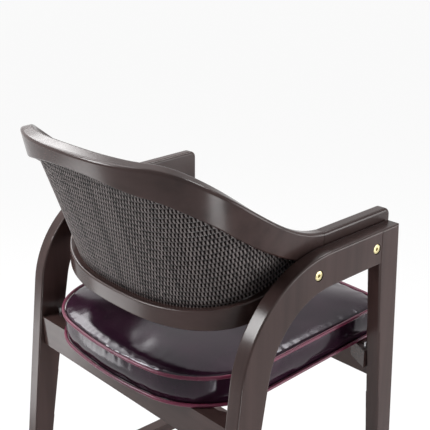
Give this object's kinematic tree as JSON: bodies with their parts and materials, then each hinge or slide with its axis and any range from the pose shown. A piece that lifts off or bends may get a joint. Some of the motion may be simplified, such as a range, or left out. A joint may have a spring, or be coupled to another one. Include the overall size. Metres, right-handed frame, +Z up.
{
  "type": "wicker bar chair",
  "caption": "Bar-height armchair with bent side frames, a curved crest rail, a dark wicker back and a piped leather seat.",
  "frame": {"origin": "on the floor, under the middle of the chair's bounding box", "axes": "+X to the sitter's left, +Y towards the chair's back, +Z up"},
  "size_m": [0.554, 0.5128, 1.0725],
  "materials": {
    "dark_lacquer": "dark espresso satin lacquer",
    "beech": "bare beech",
    "wicker": "dark stained woven cane",
    "brass": "pale brushed brass",
    "steel": "zinc plated",
    "plywood": "raw plywood",
    "foam": "open-cell foam",
    "leather": "glossy oxblood leather",
    "piping": "red leather cord",
    "nylon": "moulded nylon"
  },
  "bodies": {
    "root": {"rear_leg_left": "dark_lacquer", "rear_leg_right": "dark_lacquer", "front_leg_left": "dark_lacquer", "front_leg_right": "dark_lacquer", "arm_left": "dark_lacquer", "arm_right": "dark_lacquer", "crest_rail": "dark_lacquer", "lower_back_rail": "dark_lacquer", "rear_seat_rail": "dark_lacquer", "front_seat_rail": "dark_lacquer", "side_stretcher_left": "dark_lacquer", "side_stretcher_right": "dark_lacquer", "front_footrest": "dark_lacquer", "frame_dowels": "beech", "arm_dowels": "beech", "seat_rail_dowels": "beech", "stretcher_dowels": "beech", "footrest_dowels": "beech", "corner_block_rear_left": "beech", "corner_block_rear_right": "beech", "corner_block_front_left": "beech", "corner_block_front_right": "beech", "wicker_panel": "wicker", "arm_bolts": "brass", "bolt_inserts": "steel", "seat_screws": "steel", "seat_board": "plywood", "seat_foam": "foam", "seat_cover": "leather", "top_piping": "piping", "bottom_piping": "piping", "foot_glide_rear_left": "nylon", "foot_glide_rear_right": "nylon", "foot_glide_front_left": "nylon", "foot_glide_front_right": "nylon"}
  },
  "joints": []
}
